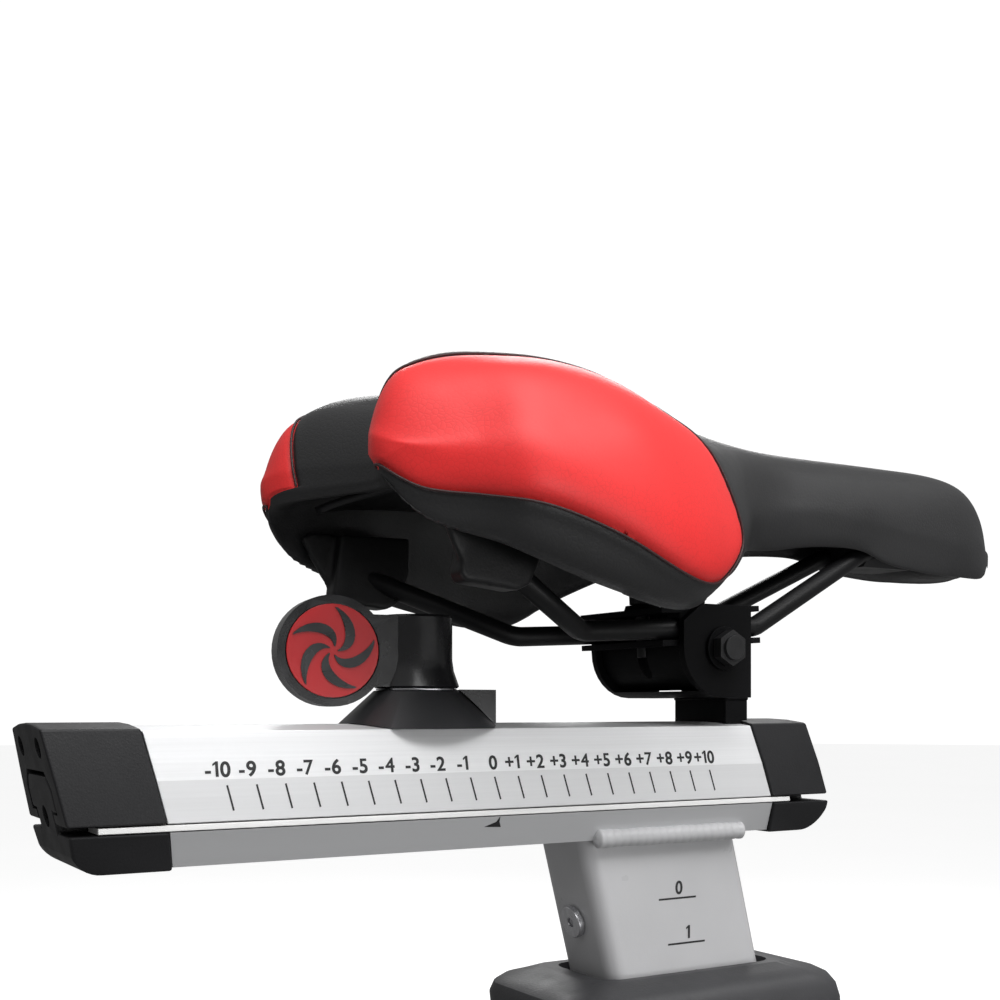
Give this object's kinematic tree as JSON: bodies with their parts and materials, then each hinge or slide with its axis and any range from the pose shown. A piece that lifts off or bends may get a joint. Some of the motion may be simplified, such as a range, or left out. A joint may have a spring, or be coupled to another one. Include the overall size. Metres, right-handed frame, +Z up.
{
  "type": "indoor spin bike saddle assembly",
  "caption": "Padded split-rear saddle on steel rails and a tilting clamp, on a scaled fore-and-aft slider with a lock lever, carried by a height post in a seat tube.",
  "frame": {"origin": "floor of the box round the assembly: the seat tube's cut end is z = 0, the mid plane is y = 0, and x = 0 is the middle of the length", "axes": "+X towards the saddle's nose (the rider faces +X), +Y to the rider's left, +Z up"},
  "size_m": [0.3944, 0.1518, 0.4467],
  "materials": {
    "frame_grey": "charcoal powder coat",
    "shroud_black": "moulded, fine grain",
    "light_grey_aluminium": "satin anodised",
    "post_grey": "smooth powder coat",
    "cap_grey": "moulded, fine grain",
    "strip_white": "low friction, smooth",
    "screw_black": "black oxide",
    "screw_zinc": "zinc plated",
    "lever_black": "semi gloss",
    "badge_red": "printed inlay",
    "clamp_black": "satin powder coat",
    "rail_black": "satin powder coat",
    "vinyl": "coated fabric, black with red flanks",
    "shell_black": "moulded, fine grain"
  },
  "bodies": {
    "frame": {"seat_tube": "frame_grey", "collar_shroud": "shroud_black", "guide_sleeve": "shroud_black", "height_lock_boss": "frame_grey"},
    "height_lever": {"height_lock_screw": "screw_zinc", "height_lock_lever": "lever_black", "height_lock_badge": "badge_red"},
    "height_pad": {"height_lock_pad": "shroud_black"},
    "post": {"seat_post": "post_grey", "post_end_plug": "shroud_black", "post_side_screw": "screw_black", "lower_rail": "light_grey_aluminium", "weld_bead_left": "post_grey", "weld_bead_right": "post_grey", "glide_strip_left": "strip_white", "glide_strip_right": "strip_white", "lower_cap_rear": "cap_grey", "lower_cap_front": "cap_grey", "lower_cap_screw_rear": "screw_black", "lower_cap_screw_front": "screw_black"},
    "carriage": {"upper_slider": "light_grey_aluminium", "upper_cap_rear": "cap_grey", "upper_cap_front": "cap_grey", "upper_cap_screw_rear_left": "screw_black", "upper_cap_screw_rear_right": "screw_black", "upper_cap_screw_front_left": "screw_black", "upper_cap_screw_front_right": "screw_black", "lever_cone": "lever_black", "lever_stop_block": "lever_black", "lever_washer": "screw_zinc", "stem_bar": "clamp_black", "clamp_bracket": "clamp_black", "tilt_bolt": "screw_black", "tilt_bolt_washer": "screw_black", "tilt_bolt_nut": "screw_black"},
    "fore_aft_lever": {"lever_handle": "lever_black", "lever_badge": "badge_red", "lever_hub_cap": "lever_black", "lock_screw": "screw_zinc"},
    "lock_shoe_body": {"lock_shoe": "shroud_black"},
    "clamp": {"clamp_rocker": "clamp_black", "clamp_plate_upper": "clamp_black", "clamp_screw_front": "screw_black", "clamp_screw_rear": "screw_black"},
    "saddle": {"saddle_pad": "vinyl", "saddle_shell": "shell_black", "saddle_rail_left": "rail_black", "saddle_rail_right": "rail_black", "rear_socket_left": "shell_black", "rear_socket_right": "shell_black", "nose_socket": "shell_black"}
  },
  "joints": [
    {"name": "height_slide", "type": "slide", "parent": "frame", "child": "post", "axis": [-0.2453, 0, 0.9695], "range_m": [-0.021, 0.125]},
    {"name": "height_lever_turn", "type": "hinge", "parent": "frame", "child": "height_lever", "pos_m": [0.00133, 0, 0.15771], "axis": [-0.9695, 0, -0.2453], "range_deg": [0, 100]},
    {"name": "height_pad_slide", "type": "slide", "parent": "frame", "child": "height_pad", "axis": [-0.9695, 0, -0.2453], "range_m": [0, 0.0005]},
    {"name": "fore_aft_slide", "type": "slide", "parent": "post", "child": "carriage", "axis": [1, 0, 0], "range_m": [-0.087, 0.087]},
    {"name": "fore_aft_lever_turn", "type": "hinge", "parent": "carriage", "child": "fore_aft_lever", "pos_m": [-0.0764, 0, 0.34], "axis": [0, 0, 1], "range_deg": [0, 60]},
    {"name": "lock_shoe_slide", "type": "slide", "parent": "carriage", "child": "lock_shoe_body", "axis": [0, 0, 1], "range_m": [0, 0.0005]},
    {"name": "saddle_tilt", "type": "hinge", "parent": "carriage", "child": "clamp", "pos_m": [0.0282, 0, 0.3602], "axis": [0, 1, 0], "range_deg": [-4, 8]},
    {"name": "saddle_rail_slide", "type": "slide", "parent": "clamp", "child": "saddle", "axis": [0.9988, 0, 0.0489], "range_m": [0, 0.012]}
  ],
  "couplings": [
    {"joint": "height_pad_slide", "follows": "height_lever_turn", "m_per_rad": 0.000239},
    {"joint": "lock_shoe_slide", "follows": "fore_aft_lever_turn", "m_per_rad": 0.000239}
  ]
}
